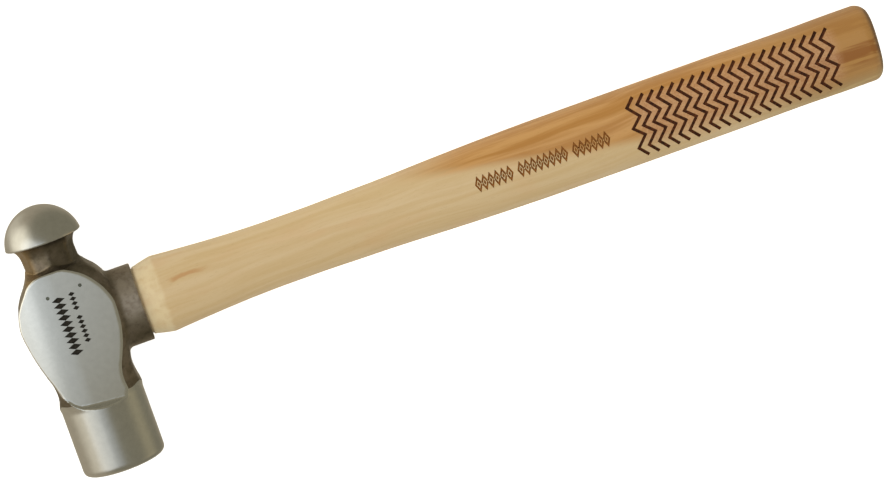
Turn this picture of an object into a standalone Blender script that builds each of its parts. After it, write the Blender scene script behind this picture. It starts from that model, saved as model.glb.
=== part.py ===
"""Ball peen hammer: a forged steel head on an oval hickory handle, held by one wooden and two steel wedges.

Frame: metres. The origin is the centre of the striking face. The head's axis runs from there along +Y to
the ball, the handle runs along +X, and +Z is the side that looks up when the hammer lies on its side.
"""

import math

import bmesh
import bpy
import numpy as np

MM = 0.001
GAP = 0.3 * MM  # between any two pieces

# Head, measured along its own axis (Y) from the striking face.
FACE_FLAT_RADIUS = 11.4 * MM
FACE_EDGE = 2.8 * MM
POLL_RADIUS = 15.0 * MM
POLL_TURNED_TO = 24.1 * MM  # the lathe work ends here, in a flare up to the forged corners
FLARE_LENGTH = 5.7 * MM
FLARE_RISE = 3.0 * MM
CHEEK_HALF_THICKNESS = 12.8 * MM
CHEEK_START = 24.0 * MM
CHEEK_END = 80.0 * MM
NECK_RADIUS = 9.4 * MM
NECK_WAIST = 79.3 * MM
NECK_TOP = 84.6 * MM
NECK_FLARE = 3.2 * MM
LIP_RADIUS = 13.6 * MM
LIP_ROOT = 0.02 * MM  # the undercut below the ball's lip is all but square
BALL_RADIUS = 14.1 * MM
BALL_CENTRE = 83.3 * MM
BALL_RIM = 85.3 * MM

# Eye and its collar, along the handle (X). Half sizes are given along Y and then Z.
EYE_CENTRE = 52.7 * MM
COLLAR_END = 24.6 * MM
COLLAR_ROOT = 4.0 * MM
COLLAR_HALF = (14.1 * MM, 11.4 * MM)
COLLAR_EDGE = 0.5 * MM  # bevel round its end face
EYE_WAIST = 3.0 * MM
EYE_WAIST_HALF = (10.9 * MM, 7.8 * MM)
EYE_MOUTH_HALF = (12.2 * MM, 9.0 * MM)
EYE_MOUTH_REACH = 21.6 * MM  # from the waist to either mouth

# Handle, along X from the collar's end face.
HANDLE_LENGTH = 275.8 * MM
BUTT_RADIUS = 4.4 * MM
BUTT_SKEW = 0.03  # the butt was cut this much out of square
END_SINK = 0.4 * MM  # the handle's far end lies this much below the head's side
TENON_END = -17.0 * MM  # about where that end lies
TENON_FIRST_RING = -15.0 * MM

# Wedges, in the far end of the eye. Each pair is at the wedge's outer end and at its tip.
WOODEN_WEDGE_ENDS = (-18.1 * MM, 4.0 * MM)
WOODEN_WEDGE_HALF_THICKNESS = (1.8 * MM, 0.35 * MM)
WOODEN_WEDGE_HALF_WIDTH = (11.3 * MM, 10.0 * MM)
STEEL_WEDGE_ENDS = (-17.2 * MM, -5.0 * MM)
STEEL_WEDGE_HALF_THICKNESS = (1.2 * MM, 0.4 * MM)
STEEL_WEDGE_HALF_WIDTH = 5.5 * MM
STEEL_WEDGE_OFFSET = 5.4 * MM
PAST_SIDE = -26.0 * MM  # clear of the head's far side, where cutters for the wedges start
KERF_OVERSHOOT = 4.0 * MM  # the kerf is sawn right through the handle, past both edges of its wedge

# Clearances of the cutters, so that each one starts outside what it cuts.
CHEEK_CUTTER_REACH = 25.0 * MM
CHEEK_CUTTER_TOP = 22.0 * MM
EYE_CUTTER_START = -23.0 * MM
EYE_CUTTER_END = COLLAR_END + 1.0 * MM

HEAD_SEGMENTS = 40
COLLAR_SEGMENTS = 40
HANDLE_SEGMENTS = 36
WOODEN_WEDGE_COLUMNS = 10
SMOOTH_BELOW = math.radians(35)  # edges sharper than this stay sharp when shaded

# The forging between poll and neck: distance along the head, half width to the far side and to the handle
# side, half width of the ground cheek on those two sides, and half thickness before grinding.
FORGING = (
    (23.1, 16.2, 16.2, 10.3, 9.4, 16.2),
    (26.9, 15.0, 15.2, 10.0, 9.4, 16.2),
    (29.7, 14.2, 14.6, 10.7, 9.2, 16.2),
    (32.6, 13.9, 14.3, 11.5, 9.4, 16.2),
    (35.4, 14.1, 14.5, 12.5, 10.1, 16.2),
    (39.2, 15.1, 15.3, 14.0, 11.7, 16.2),
    (44.0, 16.4, 16.3, 15.8, 13.6, 16.2),
    (49.7, 17.6, 17.0, 17.3, 15.3, 16.2),
    (57.3, 18.5, 17.2, 18.0, 16.1, 16.2),
    (63.0, 17.4, 16.6, 17.2, 14.9, 16.2),
    (66.8, 15.4, 15.4, 15.0, 13.2, 16.2),
    (70.1, 12.8, 13.6, 11.0, 10.4, 16.0),
    (72.5, 11.1, 11.6, 7.5, 6.1, 15.2),
    (74.0, 10.3, 10.6, 4.0, 3.0, 13.9),
    (75.4, 9.7, 9.9, 1.5, 1.5, 11.4),
    (77.3, 9.2, 9.3, 0.0, 0.0, 9.7),
)
CORNER_SHARPNESS = 26  # higher is a sharper edge between the forging's eight sides

# The handle's oval section: distance from the collar, half width and half thickness.
HANDLE_SECTIONS = (
    (0.3, 12.35, 9.69),
    (3.5, 13.11, 10.26),
    (7.6, 13.77, 10.73),
    (10.4, 13.77, 10.73),
    (14.2, 13.39, 10.45),
    (20.9, 12.92, 10.07),
    (28.5, 12.44, 9.69),
    (38.9, 11.97, 9.21),
    (50.3, 11.73, 8.88),
    (62.7, 11.73, 8.79),
    (76.0, 11.97, 8.93),
    (91.2, 12.25, 9.21),
    (112.1, 13.01, 9.79),
    (133.0, 13.59, 10.26),
    (152.0, 13.87, 10.54),
    (213.8, 13.96, 10.64),
    (245.1, 13.77, 10.54),
    (262.2, 13.96, 10.64),
)
SHOULDER_STATIONS = (0.3, 2, 4, 6, 8, 10.5, 14, 21, 29, 39)
WAIST_STATIONS = (50, 63, 76, 91, 102, 112, 123, 133, 152)
GRIP_STATIONS = (182, 214, 245, 262)
BUTT_STEPS = 5

# Shapes between a circle and a square: 2 is an ellipse, and more is squarer.
OVAL_POWER = 2.25
EYE_POWER = 2.2
FACE_EDGE_POWER = 2.6


def clear_scene():
    for item in list(bpy.data.objects):
        bpy.data.objects.remove(item)


def smooth_column(rows, column, place):
    """Value of one column of a table at a place in its first column, on a smooth curve with no overshoot."""
    at = np.array([row[0] for row in rows]) * MM
    values = np.array([row[column] for row in rows]) * MM
    slopes = np.diff(values) / np.diff(at)
    tangents = np.zeros(len(at))
    same = slopes[:-1] * slopes[1:] > 0
    total = np.where(same, slopes[:-1] + slopes[1:], 1.0)
    tangents[1:-1] = np.where(same, 2 * slopes[:-1] * slopes[1:] / total, 0.0)
    place = min(max(place, at[0]), at[-1])
    i = min(int(np.searchsorted(at, place, side="right")) - 1, len(at) - 2)
    step = at[i + 1] - at[i]
    t = (place - at[i]) / step
    start = values[i] * (1 + 2 * t) * (1 - t) ** 2 + step * tangents[i] * t * (1 - t) ** 2
    end = values[i + 1] * t * t * (3 - 2 * t) + step * tangents[i + 1] * t * t * (t - 1)
    return float(start + end)


def eight_sided(angle, distances):
    """Radius of an eight-sided section with soft corners. Sides face 0, 45, ... 315 degrees from +X to +Z."""
    total = 0.0
    for side, distance in enumerate(distances):
        facing = math.cos(angle - side * math.pi / 4)
        if facing > 0:
            total += (facing / distance) ** CORNER_SHARPNESS
    return total ** (-1 / CORNER_SHARPNESS)


def forging_radius(angle, y):
    """The forging's section, whose corner sides run down from the cheeks' edges."""
    far, near, cheek_far, cheek_near, top = (smooth_column(FORGING, c, y) for c in range(1, 6))
    corner_far = (cheek_far + min(top, CHEEK_HALF_THICKNESS)) / math.sqrt(2)
    corner_near = (cheek_near + min(top, CHEEK_HALF_THICKNESS)) / math.sqrt(2)
    sides = (near, corner_near, top, corner_far, far, corner_far, top, corner_near)
    return eight_sided(angle, sides)


def neck_radius(angle, y):
    """Eight-sided waist under the ball, with an edge and not a side facing up."""
    if y > NECK_WAIST:
        t = (y - NECK_WAIST) / (NECK_TOP - NECK_WAIST)
        grow = NECK_FLARE * (1 - math.sqrt(max(0.0, 1 - t * t)))
    else:
        grow = 0.0
    sides = (NECK_RADIUS + grow,) * 8
    return eight_sided(angle + math.pi / 8, sides)


def face_radius(y):
    """Crowned edge of the striking face, a quarter oval from the flat out to the turned cylinder."""
    t = max(0.0, 1 - y / FACE_EDGE)
    out = (1 - t**FACE_EDGE_POWER) ** (1 / FACE_EDGE_POWER)
    return FACE_FLAT_RADIUS + (POLL_RADIUS - FACE_FLAT_RADIUS) * out


def ball_radius(y):
    return math.sqrt(max(0.0, BALL_RADIUS**2 - (y - BALL_CENTRE) ** 2))


def head_radius(angle, y):
    """Distance from the head's axis to its skin, before the cheeks are ground and the eye is cut."""
    if y < POLL_TURNED_TO:
        return face_radius(y)
    if y >= BALL_RIM:
        return ball_radius(y)
    if y > NECK_TOP:
        t = (y - NECK_TOP) / (BALL_RIM - NECK_TOP)
        return LIP_RADIUS + (ball_radius(BALL_RIM) - LIP_RADIUS) * math.sin(t * math.pi / 2)
    radius = neck_radius(angle, y)
    if y < FORGING[-1][0] * MM:
        radius = max(radius, forging_radius(angle, y))
    flare = min(1.0, (y - POLL_TURNED_TO) / FLARE_LENGTH)
    turned = POLL_RADIUS + FLARE_RISE * flare**2
    return min(radius, turned) if flare < 1 else radius


def head_stations():
    """Where the head gets its rings of points, close together wherever its shape changes fast."""
    face = [FACE_EDGE * (1 - math.cos(i * math.pi / 12)) for i in range(7)]
    lower_neck = list(np.linspace(POLL_TURNED_TO, 35 * MM, 11))
    eye_body = list(np.linspace(37.5 * MM, 66.5 * MM, 11))
    shoulder = list(np.linspace(68 * MM, 78 * MM, 13))
    upper_neck = list(np.linspace(NECK_WAIST, NECK_TOP - LIP_ROOT, 7))
    lip = [NECK_TOP + LIP_ROOT, (NECK_TOP + BALL_RIM) / 2, BALL_RIM]
    rim_angle = math.asin((BALL_RIM - BALL_CENTRE) / BALL_RADIUS)
    ball_angles = [i * math.pi / 20 for i in range(1, 10)]
    ball = [BALL_CENTRE + BALL_RADIUS * math.sin(a) for a in ball_angles if a > rim_angle]
    return face + lower_neck + eye_body + shoulder + upper_neck + lip + ball


def side_of_head(y):
    """X of the head's far side at a height y along the head."""
    return -smooth_column(FORGING, 1, y)


def bridge(bm, first, second):
    """Faces between two rings of as many points."""
    count = len(first)
    for i in range(count):
        j = (i + 1) % count
        bm.faces.new((first[i], first[j], second[j], second[i]))


def strip_cap(bm, ring):
    """Closes a ring whose points i and -i mirror each other, with a strip of faces between those pairs."""
    count = len(ring)
    half = count // 2
    bm.faces.new((ring[0], ring[1], ring[-1]))
    for i in range(1, half - 1):
        bm.faces.new((ring[i], ring[i + 1], ring[count - i - 1], ring[count - i]))
    bm.faces.new((ring[half - 1], ring[half], ring[half + 1]))


def loft(name, rings, flat_caps=False):
    """A closed body through rings of points."""
    bm = bmesh.new()
    made = [[bm.verts.new(point) for point in ring] for ring in rings]
    for first, second in zip(made, made[1:]):
        bridge(bm, first, second)
    for ring in (made[0], made[-1]):
        if flat_caps:
            bm.faces.new(ring)
        else:
            strip_cap(bm, ring)
    return finish_body(name, bm)


def finish_body(name, bm):
    bmesh.ops.recalc_face_normals(bm, faces=bm.faces)
    mesh = bpy.data.meshes.new(name)
    bm.to_mesh(mesh)
    bm.free()
    mesh.shade_smooth()
    mesh.set_sharp_from_angle(angle=SMOOTH_BELOW)
    body = bpy.data.objects.new(name, mesh)
    bpy.context.scene.collection.objects.link(body)
    return body


def wedge_body(name, rings):
    """A body between two rings that each run out along one face and back along the other."""
    bm = bmesh.new()
    made = [[bm.verts.new(point) for point in ring] for ring in rings]
    bridge(bm, made[0], made[1])
    for ring in made:
        count = len(ring)
        for i in range(count // 2 - 1):
            bm.faces.new((ring[i], ring[i + 1], ring[count - i - 2], ring[count - i - 1]))
    return finish_body(name, bm)


def boolean(body, other, operation):
    """Joins or cuts a body with another one, which is then hidden from renders."""
    other.hide_render = True
    other.display_type = "WIRE"
    step = body.modifiers.new(operation.lower() + "_" + other.name, "BOOLEAN")
    step.operation = operation
    step.object = other
    step.solver = "EXACT"


def block(name, low, high):
    """A box between two corners."""
    x0, y0, z0 = low
    x1, y1, z1 = high
    rings = []
    for x in (x0, x1):
        rings.append(((x, y0, z0), (x, y1, z0), (x, y1, z1), (x, y0, z1)))
    return loft(name, rings, flat_caps=True)


def oval_ring(x_of_y, centre_y, half_y, half_z, segments, power):
    """A closed oval across X. x_of_y gives each point's X, so that an end can follow a curved side."""
    ring = []
    for i in range(segments):
        angle = 2 * math.pi * i / segments
        c, s = math.cos(angle), math.sin(angle)
        y = centre_y + half_y * math.copysign(abs(c) ** (2 / power), c)
        z = half_z * math.copysign(abs(s) ** (2 / power), s)
        ring.append((x_of_y(y), y, z))
    return ring


def skewed(x, skew=0.0):
    """A plane across the handle at x, square to it or leaning by a skew."""
    return lambda y: x + skew * (y - EYE_CENTRE)


def eye_half(x, inset):
    """Half sizes of the hourglass eye at x, less an inset all round."""
    t = ((x - EYE_WAIST) / EYE_MOUTH_REACH) ** 2
    return tuple(w + (m - w) * t - inset for w, m in zip(EYE_WAIST_HALF, EYE_MOUTH_HALF))


def make_collar():
    rings = []
    for x, inset in ((COLLAR_ROOT, 0.0), (COLLAR_END - COLLAR_EDGE, 0.0), (COLLAR_END, COLLAR_EDGE)):
        half_y, half_z = COLLAR_HALF[0] - inset, COLLAR_HALF[1] - inset
        rings.append(oval_ring(skewed(x), EYE_CENTRE, half_y, half_z, COLLAR_SEGMENTS, EYE_POWER))
    return loft("collar_blank", rings)


def make_eye_cutter():
    rings = []
    for x in np.linspace(EYE_CUTTER_START, EYE_CUTTER_END, 11):
        half_y, half_z = eye_half(x, 0.0)
        rings.append(oval_ring(skewed(x), EYE_CENTRE, half_y, half_z, HANDLE_SEGMENTS, EYE_POWER))
    return loft("eye_cutter", rings)


def make_head():
    rings = []
    for y in head_stations():
        ring = []
        for i in range(HEAD_SEGMENTS):
            angle = 2 * math.pi * (i + 0.5) / HEAD_SEGMENTS
            radius = head_radius(angle, y)
            ring.append((radius * math.cos(angle), y, radius * math.sin(angle)))
        rings.append(ring)
    head = loft("head", rings, flat_caps=True)
    boolean(head, make_collar(), "UNION")
    for name, side in (("upper_cheek_cutter", 1), ("lower_cheek_cutter", -1)):
        z0, z1 = sorted((side * CHEEK_HALF_THICKNESS, side * CHEEK_CUTTER_TOP))
        low = (-CHEEK_CUTTER_REACH, CHEEK_START, z0)
        high = (CHEEK_CUTTER_REACH, CHEEK_END, z1)
        boolean(head, block(name, low, high), "DIFFERENCE")
    boolean(head, make_eye_cutter(), "DIFFERENCE")
    return head


def handle_end(y):
    """X of the handle's far end at a height y, where it was trimmed to follow the head's side."""
    return side_of_head(y) + END_SINK


def tenon_rings():
    """The stretch of the handle inside the eye, from its far end to the collar's mouth."""
    half_y, half_z = eye_half(TENON_END, GAP)
    rings = [oval_ring(handle_end, EYE_CENTRE, half_y, half_z, HANDLE_SEGMENTS, EYE_POWER)]
    for x in np.linspace(TENON_FIRST_RING, COLLAR_END + GAP, 7):
        half_y, half_z = eye_half(x, GAP)
        rings.append(oval_ring(skewed(x), EYE_CENTRE, half_y, half_z, HANDLE_SEGMENTS, EYE_POWER))
    return rings


def grip_rings():
    """The handle's shoulder, waist, grip and rounded butt."""
    stations = SHOULDER_STATIONS + WAIST_STATIONS + GRIP_STATIONS
    places = [(station * MM, 0.0, 0.0) for station in stations]
    for i in range(BUTT_STEPS + 1):
        turn = i * math.pi / 2 / BUTT_STEPS
        place = HANDLE_LENGTH - BUTT_RADIUS * (1 - math.sin(turn))
        places.append((place, BUTT_RADIUS * (1 - math.cos(turn)), BUTT_SKEW * math.sin(turn)))
    rings = []
    for place, inset, skew in places:
        half_y = smooth_column(HANDLE_SECTIONS, 1, place) - inset
        half_z = smooth_column(HANDLE_SECTIONS, 2, place) - inset
        x_of_y = skewed(COLLAR_END + place, skew)
        rings.append(oval_ring(x_of_y, EYE_CENTRE, half_y, half_z, HANDLE_SEGMENTS, OVAL_POWER))
    return rings


def tapered(x, ends, sizes):
    """Size at x of a wedge whose size runs evenly from one end to the other, and on past both."""
    return sizes[0] + (sizes[1] - sizes[0]) * (x - ends[0]) / (ends[1] - ends[0])


def make_wooden_wedge(name, clearance, side_clearance, outer_x):
    """The wooden wedge, or with clearances its kerf. outer_x gives the X of the outer end at a height y."""
    rings = []
    tip_x = skewed(WOODEN_WEDGE_ENDS[1] + clearance)
    for x_of_y, half_width in zip((outer_x, tip_x), WOODEN_WEDGE_HALF_WIDTH):
        half_width += side_clearance
        edge = []
        for i in range(WOODEN_WEDGE_COLUMNS + 1):
            y = EYE_CENTRE + half_width * (2 * i / WOODEN_WEDGE_COLUMNS - 1)
            x = x_of_y(y)
            half_z = tapered(x, WOODEN_WEDGE_ENDS, WOODEN_WEDGE_HALF_THICKNESS) + clearance
            edge.append((x, y, half_z))
        rings.append(edge + [(x, y, -z) for x, y, z in reversed(edge)])
    return wedge_body(name, rings)


def make_steel_wedge(name, y, clearance, outer_x):
    """A flat steel wedge across the wooden one, or with a clearance its slot."""
    rings = []
    z = STEEL_WEDGE_HALF_WIDTH + clearance
    for x in (outer_x, STEEL_WEDGE_ENDS[1] + clearance):
        half_y = tapered(x, STEEL_WEDGE_ENDS, STEEL_WEDGE_HALF_THICKNESS) + clearance
        low, high = y - half_y, y + half_y
        rings.append(((x, low, -z), (x, high, -z), (x, high, z), (x, low, z)))
    return loft(name, rings, flat_caps=True)


def make_handle():
    handle = loft("handle", tenon_rings() + grip_rings())
    kerf = make_wooden_wedge("kerf_cutter", GAP, KERF_OVERSHOOT, skewed(PAST_SIDE))
    boolean(handle, kerf, "DIFFERENCE")
    return handle


def fit_steel_wedges(handle, wooden_wedge):
    wedges = []
    for name, side in (("steel_wedge_face_side", -1), ("steel_wedge_ball_side", 1)):
        y = EYE_CENTRE + side * STEEL_WEDGE_OFFSET
        wedges.append(make_steel_wedge(name, y, 0.0, STEEL_WEDGE_ENDS[0]))
        slot = make_steel_wedge(name + "_slot_cutter", y, GAP, PAST_SIDE)
        boolean(handle, slot, "DIFFERENCE")
        boolean(wooden_wedge, slot, "DIFFERENCE")
    return wedges


def give_material(body, name, colour, roughness, metallic):
    material = bpy.data.materials.new(name)
    material.use_nodes = True
    shader = material.node_tree.nodes["Principled BSDF"]
    shader.inputs["Base Color"].default_value = (*colour, 1.0)
    shader.inputs["Roughness"].default_value = roughness
    shader.inputs["Metallic"].default_value = metallic
    body.data.materials.append(material)


def main():
    clear_scene()
    head = make_head()
    give_material(head, "polished_forged_steel", (0.56, 0.55, 0.52), 0.28, 1.0)
    handle = make_handle()
    give_material(handle, "lacquered_hickory", (0.72, 0.53, 0.33), 0.35, 0.0)
    wooden_wedge = make_wooden_wedge("wooden_wedge", 0.0, 0.0, handle_end)
    give_material(wooden_wedge, "hardwood_wedge", (0.55, 0.36, 0.19), 0.6, 0.0)
    for wedge in fit_steel_wedges(handle, wooden_wedge):
        give_material(wedge, "wedge_steel", (0.42, 0.41, 0.40), 0.45, 1.0)


main()
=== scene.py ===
"""Ball peen hammer: the visual model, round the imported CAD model, with its studio and camera.

Frame: metres. The origin is the centre of the striking face, the head runs along +Y to the ball and the
handle along +X. The hammer lies on its side, so +Z is up. Shapes are worked out in millimetres.
"""

import math

import bmesh
import bpy
import numpy as np
from mathutils import Matrix, Vector


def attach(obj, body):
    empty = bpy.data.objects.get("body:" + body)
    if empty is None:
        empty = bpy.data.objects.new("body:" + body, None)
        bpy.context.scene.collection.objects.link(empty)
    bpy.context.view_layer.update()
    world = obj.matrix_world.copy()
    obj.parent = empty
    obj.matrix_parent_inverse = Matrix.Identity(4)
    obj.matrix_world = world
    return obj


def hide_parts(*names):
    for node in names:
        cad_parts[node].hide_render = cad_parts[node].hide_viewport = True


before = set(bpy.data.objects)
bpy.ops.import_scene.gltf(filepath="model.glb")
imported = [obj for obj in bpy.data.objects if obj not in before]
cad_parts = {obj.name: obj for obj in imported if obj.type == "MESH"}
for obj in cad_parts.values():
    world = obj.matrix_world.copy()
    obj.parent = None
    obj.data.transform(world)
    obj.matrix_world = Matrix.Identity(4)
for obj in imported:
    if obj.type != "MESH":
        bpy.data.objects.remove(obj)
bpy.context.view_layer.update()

MM = 0.001

# Head, along its own axis from the striking face. All lengths are in millimetres.
FACE_FLAT_RADIUS = 11.4
FACE_EDGE = 2.8
FACE_EDGE_POWER = 2.6
POLL_RADIUS = 15.0
POLL_TURNED_TO = 24.1
FLARE_LENGTH = 5.7
FLARE_RISE = 3.0
NECK_RADIUS = 9.1
NECK_WAIST = 79.3
NECK_TOP = 84.6
NECK_FLARE = 3.2
BALL_RADIUS = 13.8
BALL_CENTRE = 83.4
BALL_LEAN = 0.55
LEAN_FROM, LEAN_TO = 68.0, 80.0

# Ground cheeks: a flat a little crowned, which ends at the poll in a leaning, sloped ledge. A crown is the
# fall of the cheek per square millimetre from its middle: to the far side, to the handle side and along it.
CHEEK_HEIGHT = 12.8
CHEEK_MIDDLE = (-2.0, 50.0)
CROWN_FAR, CROWN_NEAR, CROWN_ALONG = 0.0085, 0.0006, 0.0008
LEDGE_AT = 25.6
LEDGE_LEAN = 0.1
LEDGE_BOW_FROM, LEDGE_BOW = -6.0, 0.12
LEDGE_SLOPE = 1.8
CHEEK_END = 79.0
CHEEK_END_SLOPE = 4.0

# Eye and its collar, along the handle. Half sizes are given along Y and then Z.
EYE_CENTRE = 52.7
COLLAR_END = 24.6
COLLAR_HALF = (14.1, 11.4)
EYE_WAIST = 3.0
EYE_WAIST_HALF = (10.9, 7.8)
EYE_MOUTH_HALF = (12.2, 9.0)
EYE_MOUTH_REACH = 21.6
EYE_POWER = 2.2

# Fillets between the head's surfaces, and how far the neck runs into the ball.
COLLAR_FILLET = 1.6
EDGE_FILLET = 0.45
LIP_FILLET = 0.6
EYE_FILLET = 0.5
NECK_OVERLAP = 0.5

# The forging between poll and neck: distance along the head, half width to the far side and to the handle
# side, half width of the ground cheek on those two sides, and half thickness before grinding.
FORGING = np.array((
    (23.1, 16.2, 16.2, 10.3, 9.4, 16.2),
    (26.9, 15.0, 15.2, 10.0, 9.4, 16.2),
    (29.7, 14.2, 14.6, 10.7, 9.2, 16.2),
    (32.6, 13.9, 14.3, 11.5, 9.4, 16.2),
    (35.4, 14.1, 14.5, 12.5, 10.1, 16.2),
    (39.2, 15.1, 15.3, 14.0, 11.7, 16.2),
    (44.0, 16.4, 16.3, 15.8, 13.6, 16.2),
    (49.7, 17.6, 17.0, 17.3, 15.0, 16.2),
    (57.3, 18.5, 17.2, 18.0, 15.5, 16.2),
    (63.0, 17.4, 16.6, 17.2, 13.7, 16.2),
    (66.8, 15.4, 15.4, 15.0, 11.3, 16.2),
    (70.1, 12.9, 13.6, 12.1, 8.5, 15.8),
    (72.5, 11.4, 11.6, 9.2, 5.3, 14.5),
    (74.0, 10.7, 10.6, 6.6, 2.7, 12.8),
    (75.4, 10.2, 9.9, 1.5, 1.0, 10.6),
    (77.3, 9.6, 9.3, 0.0, 0.0, 9.7),
))
CORNER_SHARPNESS = 26

# The handle's oval section: distance from the collar, half width and half thickness.
HANDLE_SECTIONS = np.array((
    (0.3, 12.35, 9.45),
    (3.5, 13.05, 9.98),
    (7.2, 13.82, 10.60),
    (7.9, 13.90, 10.68),
    (8.6, 13.84, 10.66),
    (14.2, 13.39, 10.45),
    (20.9, 12.92, 10.07),
    (28.5, 12.44, 9.69),
    (38.9, 11.97, 9.21),
    (50.3, 11.73, 8.88),
    (62.7, 11.73, 8.79),
    (76.0, 11.97, 8.93),
    (91.2, 12.25, 9.21),
    (112.1, 13.01, 9.79),
    (133.0, 13.59, 10.26),
    (152.0, 13.87, 10.54),
    (213.8, 13.96, 10.64),
    (245.1, 13.77, 10.54),
    (262.2, 13.96, 10.64),
))
OVAL_POWER = 2.4
HANDLE_LENGTH = 275.8
BUTT_END = COLLAR_END + HANDLE_LENGTH
BUTT_RADIUS = 4.4
BUTT_SKEW = 0.03
HANDLE_GAP = 0.3
END_SINK = 0.4

# Resolution of the meshes, and the box that the head's grid fills.
CELL = 0.43
HEAD_LOW, HEAD_HIGH = (-20.5, -1.0, -15.8), (26.0, 98.6, 15.8)
HANDLE_SEGMENTS = 128
HANDLE_STEP = 1.2
CRISP_ANGLE = math.radians(25)

# How the head's points are evened out and moved onto its surface.
SETTLE_ROUNDS = 3
MOVES_A_ROUND = 3
RELAXED = 0.6
PROBE = 0.02
LEAST_STEEPNESS = 0.05
LONGEST_MOVE = 0.3


def smooth_column(table, column, place):
    """Values of one column of a table at places along its first column, on a curve with no overshoot."""
    at, values = table[:, 0], table[:, column]
    slopes = np.diff(values) / np.diff(at)
    tangents = np.zeros(len(at))
    same = slopes[:-1] * slopes[1:] > 0
    total = np.where(same, slopes[:-1] + slopes[1:], 1.0)
    tangents[1:-1] = np.where(same, 2 * slopes[:-1] * slopes[1:] / total, 0.0)
    place = np.clip(place, at[0], at[-1])
    i = np.clip(np.searchsorted(at, place, side="right") - 1, 0, len(at) - 2)
    step = at[i + 1] - at[i]
    t = (place - at[i]) / step
    start = values[i] * (1 + 2 * t) * (1 - t) ** 2 + step * tangents[i] * t * (1 - t) ** 2
    end = values[i + 1] * t * t * (3 - 2 * t) + step * tangents[i + 1] * t * t * (t - 1)
    return start + end


def smooth_max(a, b, fillet):
    """The greater of two distances, with a rounded corner where they meet."""
    h = np.maximum(fillet - np.abs(a - b), 0.0) / fillet
    return np.maximum(a, b) + h * h * fillet / 4


def smooth_min(a, b, fillet):
    return -smooth_max(-a, -b, fillet)


def eight_sided(angle, distances):
    """Radius of an eight-sided section with soft corners. Its sides face every 45 degrees from +X to +Z."""
    total = 0.0
    for side, distance in enumerate(distances):
        facing = np.maximum(np.cos(angle - side * math.pi / 4), 0.0)
        total = total + (facing / distance) ** CORNER_SHARPNESS
    return total ** (-1 / CORNER_SHARPNESS)


def forging_radius(angle, y):
    far, near, cheek_far, cheek_near, top = (smooth_column(FORGING, c, y) for c in range(1, 6))
    height = np.minimum(top, CHEEK_HEIGHT)
    corner_far = (cheek_far + height) / math.sqrt(2)
    corner_near = (cheek_near + height) / math.sqrt(2)
    return eight_sided(angle, (near, corner_near, top, corner_far, far, corner_far, top, corner_near))


def neck_radius(angle, y):
    """Eight-sided waist under the ball, with an edge and not a side facing up."""
    t = np.clip((y - NECK_WAIST) / (NECK_TOP - NECK_WAIST), 0.0, 1.0)
    side = NECK_RADIUS + NECK_FLARE * (1 - np.sqrt(1 - t * t))
    return eight_sided(angle + math.pi / 8, (side,) * 8)


def forged_radius(angle, y):
    """The forging with its upper neck."""
    return np.maximum(forging_radius(angle, y) * (y < FORGING[-1, 0]), neck_radius(angle, y))


def round_axis(x, y, z):
    """Distance from the forging's axis, which leans to the far side near the ball, and angle round it."""
    x_off = x + BALL_LEAN * np.clip((y - LEAN_FROM) / (LEAN_TO - LEAN_FROM), 0.0, 1.0)
    return np.hypot(x_off, z), np.arctan2(z, x_off)


def turned_radius(y):
    """The lathe-turned poll: a crowned edge, a cylinder and a flare up to the forged corners."""
    t = np.clip(1 - y / FACE_EDGE, 0.0, 1.0)
    edge = (1 - t**FACE_EDGE_POWER) ** (1 / FACE_EDGE_POWER)
    face = FACE_FLAT_RADIUS + (POLL_RADIUS - FACE_FLAT_RADIUS) * edge
    flare = np.maximum(0.0, (y - POLL_TURNED_TO) / FLARE_LENGTH)
    return face + FLARE_RISE * flare**2


def oval_distance(y, z, half_y, half_z, power):
    """Distance outside an oval, along the ray from its middle."""
    size = (np.abs(y / half_y) ** power + np.abs(z / half_z) ** power) ** (1 / power)
    return np.hypot(y, z) * (1 - 1 / np.maximum(size, 1e-6))


def eye_half(x):
    """Half sizes of the hourglass eye at x."""
    t = ((x - EYE_WAIST) / EYE_MOUTH_REACH) ** 2
    return tuple(w + (m - w) * t for w, m in zip(EYE_WAIST_HALF, EYE_MOUTH_HALF))


def cheek_ceiling(x, y):
    """Height left by the grinding of a cheek."""
    off_x, off_y = x - CHEEK_MIDDLE[0], y - CHEEK_MIDDLE[1]
    crown = np.where(off_x < 0, CROWN_FAR, CROWN_NEAR) * off_x**2 + CROWN_ALONG * off_y**2
    crowned = CHEEK_HEIGHT - crown
    ledge_at = LEDGE_AT - LEDGE_LEAN * x + LEDGE_BOW * np.maximum(LEDGE_BOW_FROM - x, 0.0) ** 2
    ledge = np.maximum(0.0, ledge_at - y) * LEDGE_SLOPE
    beyond = np.maximum(0.0, y - CHEEK_END) * CHEEK_END_SLOPE
    return crowned + ledge + beyond


def head_distance(points):
    """Roughly the distance outside the head's skin, in millimetres."""
    x, y, z = points[..., 0], points[..., 1], points[..., 2]
    across, angle = round_axis(x, y, z)
    radius = smooth_min(forged_radius(angle, y), turned_radius(y), EDGE_FILLET)
    radius = np.where(y < POLL_TURNED_TO, turned_radius(y), radius)
    body = np.maximum(np.maximum(across - radius, -y), y - NECK_TOP - NECK_OVERLAP)
    ball = np.sqrt(across**2 + (y - BALL_CENTRE) ** 2) - BALL_RADIUS
    ball = smooth_max(ball, NECK_TOP - y, LIP_FILLET)
    ring = oval_distance(y - EYE_CENTRE, z, *COLLAR_HALF, EYE_POWER)
    collar = np.maximum(smooth_max(ring, x - COLLAR_END, EDGE_FILLET), -x)
    skin = smooth_min(body, collar, COLLAR_FILLET)
    skin = smooth_max(skin, np.abs(z) - cheek_ceiling(x, y), EDGE_FILLET)
    skin = np.minimum(skin, ball)
    hole = oval_distance(y - EYE_CENTRE, z, *eye_half(x), EYE_POWER)
    return smooth_max(skin, -hole, EYE_FILLET)


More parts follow.
